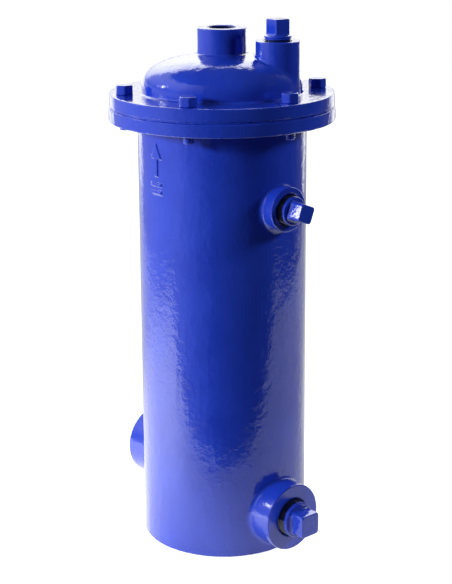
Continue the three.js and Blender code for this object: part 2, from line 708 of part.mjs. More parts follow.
place(meshOf('valve_seat', valveSeat(), HARD_STEEL), SEAT_X);
place(meshOf('lever_bracket', leverBracket(), STEEL));
place(meshOf('bracket_screw_1', bracketScrew(), STEEL), BRACKET_SCREW_X, -BRACKET_SCREW_Y);
place(meshOf('bracket_screw_2', bracketScrew(), STEEL), BRACKET_SCREW_X, BRACKET_SCREW_Y);
place(meshOf('pivot_pin', pivotPin(), HARD_STEEL));
place(meshOf('pivot_clip_1', pivotClip(-1), STEEL));
place(meshOf('pivot_clip_2', pivotClip(1), STEEL));

// The lever hangs open at rest, turned down about its pivot.
const leverGroup = new THREE.Group();
leverGroup.position.set(PIVOT_X, 0, PIVOT_HEIGHT);
leverGroup.rotation.y = radians(OPEN_ANGLE);
leverGroup.add(meshOf('lever', leverArm(), STEEL));
leverGroup.add(meshOf('hook_pin', hookPin(), HARD_STEEL));
leverGroup.add(meshOf('valve_head', valveHead(), HARD_STEEL));
leverGroup.add(meshOf('valve_nut', valveNut(), STEEL));
trap.add(leverGroup);

place(meshOf('bucket', bucketCup(), STEEL), hookX);
place(meshOf('bucket_hanger', bucketHanger(), STEEL), hookX);
place(meshOf('hanger_rivet_1', hangerRivet(), STEEL), hookX - RIVET_X);
place(meshOf('hanger_rivet_2', hangerRivet(), STEEL), hookX + RIVET_X);
place(meshOf('inlet_nipple', inletNipple(), PIPE_STEEL));
place(meshOf('inlet_elbow', inletElbow(), PIPE_STEEL));
place(meshOf('riser_tube', riserTube(), PIPE_STEEL));

export default trap;
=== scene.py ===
"""Looks of the steam trap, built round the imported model. Shapes are worked out in millimetres."""

import math

import bpy
import numpy as np
from mathutils import Matrix, Vector


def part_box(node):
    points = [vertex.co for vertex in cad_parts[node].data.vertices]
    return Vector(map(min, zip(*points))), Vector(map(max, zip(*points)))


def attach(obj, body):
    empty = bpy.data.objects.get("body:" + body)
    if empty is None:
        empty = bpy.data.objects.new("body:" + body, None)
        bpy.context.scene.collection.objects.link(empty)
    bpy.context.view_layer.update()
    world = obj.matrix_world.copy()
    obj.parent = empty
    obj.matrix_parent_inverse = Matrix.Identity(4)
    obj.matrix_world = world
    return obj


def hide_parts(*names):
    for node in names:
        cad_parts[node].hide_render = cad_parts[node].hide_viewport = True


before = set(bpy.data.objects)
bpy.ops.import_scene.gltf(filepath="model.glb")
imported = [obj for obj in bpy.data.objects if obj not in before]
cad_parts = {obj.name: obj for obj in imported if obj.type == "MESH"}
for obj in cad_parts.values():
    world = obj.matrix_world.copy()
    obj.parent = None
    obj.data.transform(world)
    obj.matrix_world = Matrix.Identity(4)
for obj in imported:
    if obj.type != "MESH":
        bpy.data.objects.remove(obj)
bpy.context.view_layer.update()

MM = 0.001

# Camera: its place relative to the object's axis, and the direction it is seen from.
CAMERA_AZIMUTH = 49.0
CAMERA_DISTANCE = 1.321
CAMERA_HEIGHT = 0.632
CAMERA_TILT = 13.68
CAMERA_PAN = -0.21
CAMERA_ROLL = 0.32
CAMERA_LENS = 90.9
CAMERA_SHIFT = -0.14


def view_direction(turn=0.0):
    """Level unit vector from the object to the camera, turned to the viewer's right by turn degrees."""
    a = math.radians(CAMERA_AZIMUTH + turn)
    return Vector((math.sin(a), -math.cos(a), 0.0))


def make_camera():
    data = bpy.data.cameras.new("camera")
    data.sensor_fit = "AUTO"
    data.sensor_width = 36.0
    data.lens = CAMERA_LENS
    data.shift_y = CAMERA_SHIFT
    camera = bpy.data.objects.new("camera", data)
    camera.location = view_direction() * CAMERA_DISTANCE + Vector((0.0, 0.0, CAMERA_HEIGHT))
    camera.rotation_euler = (
        math.radians(90.0 - CAMERA_TILT),
        math.radians(CAMERA_ROLL),
        math.radians(CAMERA_AZIMUTH + CAMERA_PAN),
    )
    bpy.context.collection.objects.link(camera)
    bpy.context.scene.camera = camera


make_camera()

# ---------------------------------------------------------------------------------------------
# Sizes in millimetres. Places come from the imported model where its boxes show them.
# ---------------------------------------------------------------------------------------------


def corners_mm(node):
    low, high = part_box(node)
    return np.array(low) / MM, np.array(high) / MM


body_low, body_high = corners_mm("body_casting")
cover_low, cover_high = corners_mm("cover_casting")
gasket_low, gasket_high = corners_mm("cover_gasket")
drain_low, drain_high = corners_mm("drain_plug")
side_low, side_high = corners_mm("side_plug")
top_low, top_high = corners_mm("cover_plug")
nipple_low, nipple_high = corners_mm("inlet_nipple")
seat_low, seat_high = corners_mm("valve_seat")
SCREWS = [corners_mm(f"cover_screw_{k}") for k in range(1, 7)]

# Body.
BODY_TOP = body_high[2]
BODY_FLANGE_RADIUS = body_high[1]
BODY_FLANGE_THICKNESS = 12.0
BODY_RADIUS = 77.0
CHAMBER_RADIUS = 68.5
FLOOR_THICKNESS = 10.0
FLOOR_FILLET = 6.0

# Cover: a superellipse of revolution on a flange.
COVER_BOTTOM = cover_low[2]
COVER_FLANGE_RADIUS = cover_high[1]
COVER_FLANGE_TOP = COVER_BOTTOM + 11.8
DOME_RADIUS = 73.0
DOME_SPRING = COVER_FLANGE_TOP + 2.0
DOME_RISE = 33.2
DOME_WALL = 8.0
DOME_SIDE_POWER = 2.2
DOME_CROWN_POWER = 2.75

# Open ports.
OUTLET_TOP = cover_high[2]
OUTLET_BOSS_RADIUS = 22.7
OUTLET_THREAD_RADIUS = 12.3
OUTLET_BORE_BOTTOM = 430.0
OUTLET_COUNTERBORE_BOTTOM = 452.0

INLET_FACE = -body_low[0]
INLET_HEIGHT = (nipple_low[2] + nipple_high[2]) / 2
INLET_BOSS_RADIUS = 35.0
INLET_THREAD_RADIUS = 15.0
INLET_BORE_DEPTH = 19.0
PIPE_RADIUS = (nipple_high[2] - nipple_low[2]) / 2
COUNTERBORE = 1.3

# Plugged ports.
DRAIN_FACE = 95.5
DRAIN_HEIGHT = (drain_low[2] + drain_high[2]) / 2
DRAIN_BOSS_RADIUS = 31.0
SIDE_FACE = 88.5
SIDE_HEIGHT = (side_low[2] + side_high[2]) / 2
SIDE_BOSS_RADIUS = 20.4
TOP_PORT = (top_low + top_high) / 2
TOP_PORT_TOP = 469.4
TOP_PORT_BOSS_RADIUS = 20.1
TOP_PORT_DEPTH = 17.0
TOP_PORT_STEP = 2.2
PORT_GAP = 0.35
MOUTH_CHAMFER = 1.6
DRAIN_THREAD_RADIUS = 16.6 + PORT_GAP
SIDE_THREAD_RADIUS = 13.0 + PORT_GAP
TOP_THREAD_RADIUS = 12.6 + PORT_GAP
BOSS_ROOT = 50.0
BORE_ROOT = 60.0

# Valve passage.
SEAT_X = (seat_low[0] + seat_high[0]) / 2
LUMP_BOTTOM = 424.0
LUMP_MIDDLE = -20.0
LUMP_HALF_LENGTH = 40.0
LUMP_HALF_WIDTH = 20.0
LUMP_FILLET = 2.0
PASSAGE_HEIGHT = 437.0
PASSAGE_RADIUS = 6.0
SEAT_BORE_RADIUS = 8.3

# Flow mark.
MARK_RISE = 1.2
MARK_HALF_WIDTH = 6.5
ARROW_TIP = 384.0
ARROW_SHOULDER = 370.0
ARROW_FOOT = 354.0
ARROW_SHAFT_HALF_WIDTH = 2.2
BAR_HEIGHTS = (346.5, 339.5)
BAR_HALF_THICKNESS = 1.4

# Cover screws.
HOLE_RADIUS = 4.6
CLEARANCE_RADIUS = 5.2
SCREW_CIRCLE = float(np.mean([np.hypot(*((low + high)[:2] / 2)) for low, high in SCREWS]))
SCREW_FLATS = 15.0
SCREW_RADIUS = 4.75
SCREW_TOP = SCREWS[0][1][2]
SCREW_END = SCREWS[0][0][2]
SCREW_PITCH = 25.4 / 16

# Seam between the flanges. The paint bridges it round one direction, in degrees from +X.
SEAM_EDGE = 0.45
SEAM_BRIDGE = -86.0
SEAM_INNER_RADIUS = 95.0
SEAM_OUTER_RADIUS = 101.9

# Radii of the castings' outer edges and of the fillets where their parts meet.
FOOT_EDGE = 1.2
BODY_FLANGE_EDGE = 1.0
BOSS_EDGE = 1.1
INLET_EDGE = 1.3
COVER_FLANGE_EDGE = 1.1
TOP_BOSS_EDGE = 1.3
HOLE_EDGE = 0.7
BORE_EDGE = 0.5
BODY_FLANGE_FILLET = 4.5
BODY_BOSS_FILLET = 2.8
MARK_FILLET = 1.0
CROWN_FILLET = 1.8
OUTLET_FILLET = 1.1
PLUG_BOSS_FILLET = 2.2

# Mesh cells: the two castings, and the finer stretches across their edges.
BODY_CELL = 2.35
COVER_CELL = 1.7
FINE_CELL = 0.8

# Pipe threads: turns to the millimetre on the 1 inch and 3/4 inch sizes.
PITCH_1_INCH = 25.4 / 11.5
PITCH_3_4_INCH = 25.4 / 14

# ---------------------------------------------------------------------------------------------
# Distance fields. Each takes arrays of coordinates and gives the distance to a surface,
# negative inside.
# ---------------------------------------------------------------------------------------------


def join(a, b, fillet):
    """Union of two fields with a concave fillet of that radius where they meet."""
    round_part = np.hypot(np.maximum(fillet - a, 0), np.maximum(fillet - b, 0))
    return np.maximum(fillet, np.minimum(a, b)) - round_part


def common(a, b, edge):
    """Intersection of two fields with the edge between them rounded."""
    round_part = np.hypot(np.maximum(edge + a, 0), np.maximum(edge + b, 0))
    return np.minimum(-edge, np.maximum(a, b)) + round_part


def cut(a, b, edge):
    return common(a, -b, edge)


def disc(radial, along, radius, start, end, edge):
    """A round bar of that radius from start to end along its axis, its edges rounded."""
    out = radial - radius + edge
    up = np.abs(along - (start + end) / 2) - (end - start) / 2 + edge
    inside = np.minimum(np.maximum(out, up), 0)
    return inside + np.hypot(np.maximum(out, 0), np.maximum(up, 0)) - edge


def dome(radial, z, radius, rise):
    """A superellipse of revolution on a straight skirt, as a first-order distance."""
    u = np.maximum(radial / radius, 1e-3)
    v = np.maximum((z - DOME_SPRING) / rise, 1e-3)
    level = u**DOME_SIDE_POWER + v**DOME_CROWN_POWER - 1
    slope_r = DOME_SIDE_POWER * u ** (DOME_SIDE_POWER - 1) / radius
    slope_z = DOME_CROWN_POWER * v ** (DOME_CROWN_POWER - 1) / rise
    return np.maximum(level / np.hypot(slope_r, slope_z), -9.0)


def prism(x, y, half_flats, sides, sharpness):
    """A regular prism with softly rounded corners, flats square to its first direction."""
    total = 0
    for k in range(sides // 2):
        a = 2 * math.pi * k / sides
        total = total + np.abs(x * math.cos(a) + y * math.sin(a)) ** sharpness
    return total ** (1 / sharpness) - half_flats


def thread_wave(turn, along, pitch):
    """Rounded thread form, 0 at the crest and 1 at the root."""
    return 0.5 - 0.5 * np.cos(2 * math.pi * (along / pitch) - turn)


def ripple(p, length, seed):
    """Unevenness with hollows about that length apart, between -1/3 and 1."""
    q = p * (2 * math.pi / length)
    a = np.sin(q[:, 0] + 1.7 * np.sin(0.43 * q[:, 2] + seed) + seed)
    b = np.sin(1.13 * q[:, 1] + 1.5 * np.sin(0.51 * q[:, 0] - seed) - seed)
    c = np.sin(0.91 * q[:, 2] + 1.9 * np.sin(0.47 * q[:, 1] + 2 * seed))
    return (a * b + b * c + c * a) / 3


def cast_skin(p, seed):
    """How far a painted sand casting lies inside its true shape."""
    return 0.07 * (1 + ripple(p, 64, seed)) + 0.022 * (1 + ripple(p, 15, seed + 1))


# ---------------------------------------------------------------------------------------------
# Meshes.
# ---------------------------------------------------------------------------------------------

BLOCK = 8
CUBE_CORNERS = np.array([(i, j, k) for i in (0, 1) for j in (0, 1) for k in (0, 1)])
CUBE_EDGES = [
    (a, b)
    for a in range(8)
    for b in range(a + 1, 8)
    if np.abs(CUBE_CORNERS[a] - CUBE_CORNERS[b]).sum() == 1
]


def grid_line(low, high, cell, fine=()):
    """Grid places a cell apart. fine holds (start, end, smaller cell) stretches."""
    places = [low - 2.3 * cell]
    while places[-1] < high + 2.3 * cell or (len(places) - 1) % BLOCK:
        steps = [step for start, end, step in fine if start <= places[-1] < end]
        places.append(places[-1] + min([cell] + steps))
    return np.array(places)


def even_grid(low, high, cell):
    return [grid_line(low[k], high[k], cell) for k in range(3)]


def grid_points(lines, index):
    """Points at whole or broken grid numbers."""
    return np.stack([np.interp(index[:, k], np.arange(len(lines[k])), lines[k]) for k in range(3)], axis=1)


def blocks_near_surface(field, lines):
    """First grid numbers of the blocks that the surface can pass through."""
    counts = [(len(line) - 1) // BLOCK for line in lines]
    first = np.indices(counts).reshape(3, -1).T * BLOCK
    low = grid_points(lines, first)
    high = grid_points(lines, first + BLOCK)
    reach = np.linalg.norm(high - low, axis=1) / 2
    return first[np.abs(field((low + high) / 2)) < 1.2 * reach]


def cell_points(values, blocks):
    """For each cell with a sign change: its grid numbers and the mean of its edge crossings."""
    corners = np.stack(
        [values[:, i : i + BLOCK, j : j + BLOCK, k : k + BLOCK] for i, j, k in CUBE_CORNERS], axis=-1
    )
    inside = corners < 0
    mixed = inside.any(-1) & ~inside.all(-1)
    where = np.argwhere(mixed)
    corners = corners[mixed]
    total = np.zeros((len(corners), 3))
    count = np.zeros(len(corners))
    for a, b in CUBE_EDGES:
        va, vb = corners[:, a], corners[:, b]
        crossing = (va < 0) != (vb < 0)
        t = np.where(crossing, va / np.where(crossing, va - vb, 1), 0)
        point = CUBE_CORNERS[a] + t[:, None] * (CUBE_CORNERS[b] - CUBE_CORNERS[a])
        total += np.where(crossing[:, None], point, 0)
        count += crossing
    index = blocks[where[:, 0]] + where[:, 1:]
    return index, index + total / count[:, None]


def crossing_quads(values, blocks, number_of):
    """Quads round every grid edge that the surface crosses, facing out."""
    quads = []
    steps = np.eye(3, dtype=int)
    start = values[:, :BLOCK, :BLOCK, :BLOCK] < 0
    for axis in range(3):
        i, j, k = steps[axis]
        side_b, side_c = steps[(axis + 1) % 3], steps[(axis + 2) % 3]
        end = values[:, i : i + BLOCK, j : j + BLOCK, k : k + BLOCK] < 0
        for outward in (True, False):
            where = np.argwhere((start != end) & (start == outward))
            at = blocks[where[:, 0]] + where[:, 1:]
            ring = [at - side_b - side_c, at - side_c, at, at - side_b]
            corners = [number_of(cells) for cells in ring]
            quads.append(np.stack(corners if outward else corners[::-1], axis=1))
    return np.concatenate(quads)


def slopes(points, field, eps):
    steps = np.eye(3) * eps
    return np.stack([(field(points + step) - field(points - step)) / (2 * eps) for step in steps], axis=1)


def settle(points, field, cell):
    """Moves points onto the field's zero surface."""
    for _ in range(3):
        slope = slopes(points, field, 0.02 * cell)
        move = field(points)[:, None] * slope / np.maximum((slope**2).sum(1), 0.2)[:, None]
        points = points - np.clip(move, -0.5 * cell, 0.5 * cell)
    return points


def mesh_from(name, points, faces):
    """A smooth-shaded mesh from millimetre points and quads."""
    mesh = bpy.data.meshes.new(name)
    mesh.vertices.add(len(points))
    mesh.vertices.foreach_set("co", (points * MM).astype(np.float32).ravel())
    mesh.loops.add(faces.size)
    mesh.loops.foreach_set("vertex_index", faces.astype(np.int32).ravel())
    mesh.polygons.add(len(faces))
    mesh.polygons.foreach_set("loop_start", np.arange(0, faces.size, 4, dtype=np.int32))
    mesh.polygons.foreach_set("use_smooth", np.ones(len(faces), dtype=bool))
    mesh.update(calc_edges=True)
    mesh.validate()
    return mesh


def shade_by_slope(mesh, points, field, cell):
    """Takes the shading normals from the field wherever they agree with the mesh."""
    normals = slopes(points, field, 0.05 * cell)
    normals /= np.maximum(np.linalg.norm(normals, axis=1), 1e-6)[:, None]
    own = np.zeros(len(points) * 3, np.float32)
    mesh.vertex_normals.foreach_get("vector", own)
    own = own.reshape(-1, 3)
    agree = (normals * own).sum(1) > 0.92
    mesh.normals_split_custom_set_from_vertices(np.where(agree[:, None], normals, own).tolist())


def surface(name, field, lines, cell):
    """Closed quad mesh of a field's zero surface on a grid, in millimetres."""
    blocks = blocks_near_surface(field, lines)
    corner = np.indices((BLOCK + 1,) * 3).reshape(3, -1).T
    grid = (blocks[:, None, :] + corner[None]).reshape(-1, 3)
    values = field(grid_points(lines, grid)).reshape(len(blocks), *(BLOCK + 1,) * 3)
    index, places = cell_points(values, blocks)
    wide, high = len(lines[1]), len(lines[2])
    key = (index[:, 0] * wide + index[:, 1]) * high + index[:, 2]
    order = np.argsort(key)
    sorted_key = key[order]

    def number_of(cells):
        wanted = (cells[:, 0] * wide + cells[:, 1]) * high + cells[:, 2]
        return order[np.searchsorted(sorted_key, wanted)]

    quads = crossing_quads(values, blocks, number_of)
    points = settle(grid_points(lines, places), field, cell)
    mesh = mesh_from(name, points, quads)
    shade_by_slope(mesh, points, field, cell)
    return mesh


def revolve(name, profile, segments, wave=None):
    """Closed ring mesh: a closed loop of [radius, height] turned about Z. wave changes the radius."""
    profile = np.array(profile, float)
    angle = np.arange(segments) * 2 * math.pi / segments
    rows, turns = np.meshgrid(np.arange(len(profile)), angle, indexing="ij")
    radius, height = profile[rows, 0], profile[rows, 1]
    if wave is not None:
        radius = wave(radius, height, turns)
    points = np.stack([radius * np.cos(turns), radius * np.sin(turns), height], axis=-1).reshape(-1, 3)
    i, j = np.meshgrid(np.arange(len(profile)), np.arange(segments), indexing="ij")
    i2, j2 = (i + 1) % len(profile), (j + 1) % segments
    ring = [i * segments + j, i * segments + j2, i2 * segments + j2, i2 * segments + j]
    return mesh_from(name, points, np.stack(ring, axis=-1).reshape(-1, 4))


def piece(name, mesh, body, material, nodes=(), place=None):
    """A mesh as a piece that rides a body, in place of CAD nodes. place is a 4x4 matrix in metres."""
    obj = bpy.data.objects.new(name, mesh)
    bpy.context.collection.objects.link(obj)
    if place is not None:
        obj.matrix_world = place
    obj.data.materials.clear()
    obj.data.materials.append(material)
    bpy.context.view_layer.update()
    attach(obj, body)
    if nodes:
        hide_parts(*nodes)
    return obj


# ---------------------------------------------------------------------------------------------
# Materials.
# ---------------------------------------------------------------------------------------------


class Nodes:
    """A short way to write a material's node tree."""

    def __init__(self, tree):
        self.tree = tree

    def add(self, kind, inputs=None, **settings):
        node = self.tree.nodes.new(kind)
        for key, value in settings.items():
            setattr(node, key, value)
        for key, value in (inputs or {}).items():
            self.set(node, key, value)
        return node

    def set(self, node, key, value):
        if isinstance(value, bpy.types.NodeSocket):
            self.tree.links.new(value, node.inputs[key])
        else:
            node.inputs[key].default_value = value

    def noise(self, where, scale, detail=2.0, roughness=0.5, distortion=0.0):
        inputs = {"Vector": where, "Scale": scale, "Detail": detail, "Roughness": roughness}
        node = self.add("ShaderNodeTexNoise", inputs | {"Distortion": distortion})
        return node.outputs[0]

    def spread(self, value, low, high, to_low=0.0, to_high=1.0):
        inputs = {0: value, 1: low, 2: high, 3: to_low, 4: to_high}
        return self.add("ShaderNodeMapRange", inputs).outputs[0]

    def mix(self, amount, a, b):
        node = self.add("ShaderNodeMix", data_type="RGBA")
        self.set(node, 0, amount)
        self.set(node, 6, a)
        self.set(node, 7, b)
        return node.outputs[2]

    def math(self, operation, a, b=0.0):
        return self.add("ShaderNodeMath", {0: a, 1: b}, operation=operation).outputs[0]

    def bump(self, height, distance, strength=1.0, under=None):
        inputs = {"Height": height, "Distance": distance, "Strength": strength}
        if under is not None:
            inputs["Normal"] = under
        return self.add("ShaderNodeBump", inputs).outputs[0]

    def stretched(self, where, x, y, z):
        return self.add("ShaderNodeMapping", {"Vector": where, "Scale": (x, y, z)}).outputs[0]


def new_material(name):
    """A material with an empty tree: its node writer, its shader and the object's coordinates."""
    material = bpy.data.materials.new(name)
    material.use_nodes = True
    material.node_tree.nodes.clear()
    n = Nodes(material.node_tree)
    shader = n.add("ShaderNodeBsdfPrincipled")
    out = n.add("ShaderNodeOutputMaterial")
    n.tree.links.new(shader.outputs[0], out.inputs[0])
    where = n.add("ShaderNodeTexCoord").outputs["Object"]
    return material, n, shader, where


PAINT_DEEP = (0.012, 0.042, 0.50, 1.0)
PAINT_LIGHT = (0.019, 0.060, 0.61, 1.0)
PAINT_THIN = (0.019, 0.048, 0.42, 1.0)
# Near-black painted shade for the plugs' threads where they sink into their ports.
NECK_PAINTED_SHADE = (0.005, 0.010, 0.055, 1.0)


# Darker copies of a paint colour, for painted shade.
def shaded(colour, shade):
    return tuple(shade * c for c in colour[:3]) + (1.0,)


def enamel(name, peel=1.0, runs=True, shade=1.0, painted_shade_to=None):
    """Thick glossy enamel over rough cast iron: orange peel, slow waves, sags and thin edges.

    The last argument is the height, in a plug's own millimetres, up to which its thread is painted
    near-black: painted shade where the plug sinks into its port.
    """
    material, n, shader, where = new_material(name)
    tone = n.spread(n.noise(where, 22.0, 3.0), 0.35, 0.65)
    speckle = n.spread(n.noise(where, 420.0, 2.0), 0.30, 0.72)
    # shade below 1 darkens every paint colour: painted shade.
    deep, light = shaded(PAINT_DEEP, shade), shaded(PAINT_LIGHT, shade)
    colour = n.mix(n.math("MULTIPLY", tone, 0.8), deep, light)
    colour = n.mix(n.math("MULTIPLY", speckle, 0.10), colour, light)
    thin = n.spread(n.noise(where, 95.0, 4.0, 0.6), 0.64, 0.76, 0.0, 0.5)
    colour = n.mix(thin, colour, shaded(PAINT_THIN, shade))
    # Painted shade: below the given height the thread is painted near-black, with a ragged edge.
    if painted_shade_to is not None:
        height = n.add("ShaderNodeSeparateXYZ", {0: where}).outputs[2]
        ragged = n.math("ADD", height, n.spread(n.noise(where, 260.0, 2.0), 0.3, 0.7, -0.0007, 0.0007))
        above_painted_shade = n.spread(ragged, painted_shade_to * MM - 0.0005, painted_shade_to * MM + 0.0005)
        colour = n.mix(above_painted_shade, NECK_PAINTED_SHADE, colour)
    n.set(shader, "Base Color", colour)
    rough = n.spread(n.noise(where, 60.0, 3.0), 0.3, 0.7, 0.09, 0.16)
    n.set(shader, "Roughness", rough)
    shader.inputs["IOR"].default_value = 1.5
    shader.inputs["Coat Weight"].default_value = 1.0
    shader.inputs["Coat Roughness"].default_value = 0.04
    shader.inputs["Coat IOR"].default_value = 1.5
    waves = n.bump(n.noise(where, 62.0, 2.0, 0.5, 0.4), 0.0006, 0.6 * peel)
    if runs:
        sags = n.noise(n.stretched(where, 90.0, 90.0, 16.0), 1.0, 2.0)
        waves = n.bump(n.spread(sags, 0.52, 0.72), 0.00013, 0.8 * peel, waves)
    hammered = n.noise(where, 185.0, 3.0, 0.6, 0.5)
    waves = n.bump(hammered, 0.0004, 0.65 * peel, waves)
    grain = n.bump(n.noise(where, 430.0, 2.0, 0.5), 0.00007, 0.6 * peel, waves)
    n.set(shader, "Normal", grain)
    n.set(shader, "Coat Normal", waves)
    return material


def turned_steel(name, colour, roughness, lines_scale):
    """Machined steel with fine turning lines and a few stains."""
    material, n, shader, where = new_material(name)
    stain = n.spread(n.noise(where, 120.0, 4.0, 0.6), 0.45, 0.75)
    dark = tuple(0.55 * c for c in colour) + (1.0,)
    n.set(shader, "Base Color", n.mix(n.math("MULTIPLY", stain, 0.5), colour + (1.0,), dark))
    lines = n.noise(n.stretched(where, 60.0, 60.0, lines_scale), 1.0, 3.0)
    n.set(shader, "Roughness", n.spread(lines, 0.3, 0.7, roughness - 0.07, roughness + 0.12))
    shader.inputs["Metallic"].default_value = 1.0
    n.set(shader, "Normal", n.bump(lines, 0.00003, 0.6))
    return material


def sheet_steel(name, colour, roughness):
    """Rolled stainless sheet: fine drawn lines along its height and soft dents."""
    material, n, shader, where = new_material(name)
    drawn = n.noise(n.stretched(where, 900.0, 900.0, 22.0), 1.0, 3.0)
    cloud = n.spread(n.noise(where, 30.0, 4.0), 0.35, 0.7)
    dark = tuple(0.72 * c for c in colour) + (1.0,)
    n.set(shader, "Base Color", n.mix(cloud, colour + (1.0,), dark))
    n.set(shader, "Roughness", n.spread(drawn, 0.3, 0.7, roughness - 0.06, roughness + 0.1))
    shader.inputs["Metallic"].default_value = 1.0
    soft = n.bump(n.noise(where, 26.0, 1.0), 0.0004, 0.25)
    n.set(shader, "Normal", n.bump(drawn, 0.00002, 0.5, soft))
    return material


def rough_pipe(name):
    """Black pipe steel with scale and a little rust."""
    material, n, shader, where = new_material(name)
    scale = n.spread(n.noise(where, 160.0, 5.0, 0.65), 0.38, 0.66)
    rust = n.spread(n.noise(where, 55.0, 4.0, 0.6, 0.6), 0.56, 0.70)
    colour = n.mix(scale, (0.10, 0.10, 0.105, 1.0), (0.22, 0.215, 0.21, 1.0))
    n.set(shader, "Base Color", n.mix(n.math("MULTIPLY", rust, 0.6), colour, (0.18, 0.075, 0.03, 1.0)))
    n.set(shader, "Roughness", n.spread(rust, 0.0, 1.0, 0.48, 0.8))
    n.set(shader, "Metallic", n.spread(rust, 0.0, 1.0, 0.75, 0.2))
    n.set(shader, "Normal", n.bump(n.noise(where, 700.0, 4.0, 0.6), 0.0001, 0.5))
    return material


def gasket_sheet(name):
    """Compressed fibre sheet, dark grey with short pale fibres."""
    material, n, shader, where = new_material(name)
    fibres = n.noise(n.stretched(where, 900.0, 260.0, 900.0), 1.0, 3.0, 0.6, 1.2)
    strands = n.spread(fibres, 0.54, 0.68)
    n.set(shader, "Base Color", n.mix(strands, (0.030, 0.030, 0.032, 1.0), (0.085, 0.082, 0.078, 1.0)))
    n.set(shader, "Roughness", n.spread(fibres, 0.3, 0.7, 0.75, 0.92))
    n.set(shader, "Normal", n.bump(fibres, 0.00008, 0.6))
    return material


casting_enamel = enamel("casting_enamel")
machined_enamel = enamel("machined_enamel", peel=0.45, runs=False)
# At an eighth of the brightness: painted shade on the threads deep in the open ports.
bore_enamel_painted_shade = enamel("bore_enamel_painted_shade", peel=0.45, runs=False, shade=0.12)
gasket_material = gasket_sheet("gasket_sheet")
ground_steel = turned_steel("ground_steel", (0.52, 0.53, 0.55), 0.24, 1500.0)
stainless = sheet_steel("stainless_sheet", (0.60, 0.60, 0.60), 0.30)
pipe_material = rough_pipe("pipe_steel")

# ---------------------------------------------------------------------------------------------
# Castings.
# ---------------------------------------------------------------------------------------------


def side_boss(p, way, radius, face, height, edge):
    """A round boss along X, towards +X or -X."""
    off_axis = np.hypot(p[:, 1], p[:, 2] - height)
    return disc(off_axis, way * p[:, 0], radius, BOSS_ROOT, face, edge)


def flow_mark(p):
    """A raised arrow for the direction of flow, over two plain bars."""
    x, y, z = np.abs(p[:, 0]), p[:, 1], p[:, 2]
    shaft = np.maximum(x - ARROW_SHAFT_HALF_WIDTH, np.maximum(ARROW_FOOT - z, z - ARROW_TIP + 4))
    rise = ARROW_TIP - ARROW_SHOULDER
    slope = (rise * x + MARK_HALF_WIDTH * (z - ARROW_TIP)) / math.hypot(rise, MARK_HALF_WIDTH)
    head = np.maximum(ARROW_SHOULDER - z, slope)
    outline = np.minimum(shaft, head)
    for height in BAR_HEIGHTS:
        bar = np.maximum(x - MARK_HALF_WIDTH, np.abs(z - height) - BAR_HALF_THICKNESS)
        outline = np.minimum(outline, bar)
    raised = np.hypot(p[:, 0], y) - BODY_RADIUS - MARK_RISE
    front = y + BODY_RADIUS - 8
    return common(common(outline, raised, 0.5), front, 0.1)


def screw_distance(p):
    """Distance from the axis of the nearest cover screw."""
    turn = math.pi / 3
    angle = np.arctan2(p[:, 1], p[:, 0])
    angle = angle - np.round(angle / turn) * turn
    radial = np.hypot(p[:, 0], p[:, 1])
    return np.hypot(radial * np.cos(angle) - SCREW_CIRCLE, radial * np.sin(angle))


def mouth(off_axis, along, radius, face):
    """The countersink at a port's face."""
    return (off_axis - radius - MOUTH_CHAMFER - (along - face)) / math.sqrt(2)


def body_ports(p):
    """The bores of the drain, side and inlet ports."""
    x = p[:, 0]
    drain = np.hypot(p[:, 1], p[:, 2] - DRAIN_HEIGHT)
    side = np.hypot(p[:, 1], p[:, 2] - SIDE_HEIGHT)
    inlet = np.hypot(p[:, 1], p[:, 2] - INLET_HEIGHT)
    inlet_end = INLET_FACE - INLET_BORE_DEPTH
    bores = [
        disc(drain, x, DRAIN_THREAD_RADIUS, BORE_ROOT, DRAIN_FACE + 20, BORE_EDGE),
        disc(side, x, SIDE_THREAD_RADIUS, BORE_ROOT, SIDE_FACE + 20, BORE_EDGE),
        mouth(drain, x, DRAIN_THREAD_RADIUS, DRAIN_FACE),
        mouth(side, x, SIDE_THREAD_RADIUS, SIDE_FACE),
        disc(inlet, -x, INLET_THREAD_RADIUS + COUNTERBORE, inlet_end, INLET_FACE + 25, BORE_EDGE),
        disc(inlet, -x, PIPE_RADIUS + PORT_GAP, BORE_ROOT, INLET_FACE - 5, BORE_EDGE),
    ]
    return np.min(bores, axis=0)


def body_field(p):
    z = p[:, 2]
    radial = np.hypot(p[:, 0], p[:, 1])
    wall = disc(radial, z, BODY_RADIUS, 0, BODY_TOP - 4, FOOT_EDGE)
    flange_bottom = BODY_TOP - BODY_FLANGE_THICKNESS
    flange = disc(radial, z, BODY_FLANGE_RADIUS, flange_bottom, BODY_TOP + 4, BODY_FLANGE_EDGE)
    flange = common(flange, z - BODY_TOP, SEAM_EDGE)
    outside = join(wall, flange, BODY_FLANGE_FILLET)
    drain = side_boss(p, 1, DRAIN_BOSS_RADIUS, DRAIN_FACE, DRAIN_HEIGHT, BOSS_EDGE)
    side = side_boss(p, 1, SIDE_BOSS_RADIUS, SIDE_FACE, SIDE_HEIGHT, BOSS_EDGE)
    inlet = side_boss(p, -1, INLET_BOSS_RADIUS, INLET_FACE, INLET_HEIGHT, INLET_EDGE)
    outside = join(outside, np.minimum(np.minimum(drain, side), inlet), BODY_BOSS_FILLET)
    outside = join(outside, flow_mark(p), MARK_FILLET) + cast_skin(p, 0.7)
    chamber = disc(radial, z, CHAMBER_RADIUS, FLOOR_THICKNESS, BODY_TOP + 30, FLOOR_FILLET)
    holes = np.maximum(screw_distance(p) - HOLE_RADIUS, flange_bottom - 4 - z)
    hollow = np.minimum(np.minimum(chamber, body_ports(p)), holes)
    return cut(outside, hollow, HOLE_EDGE)


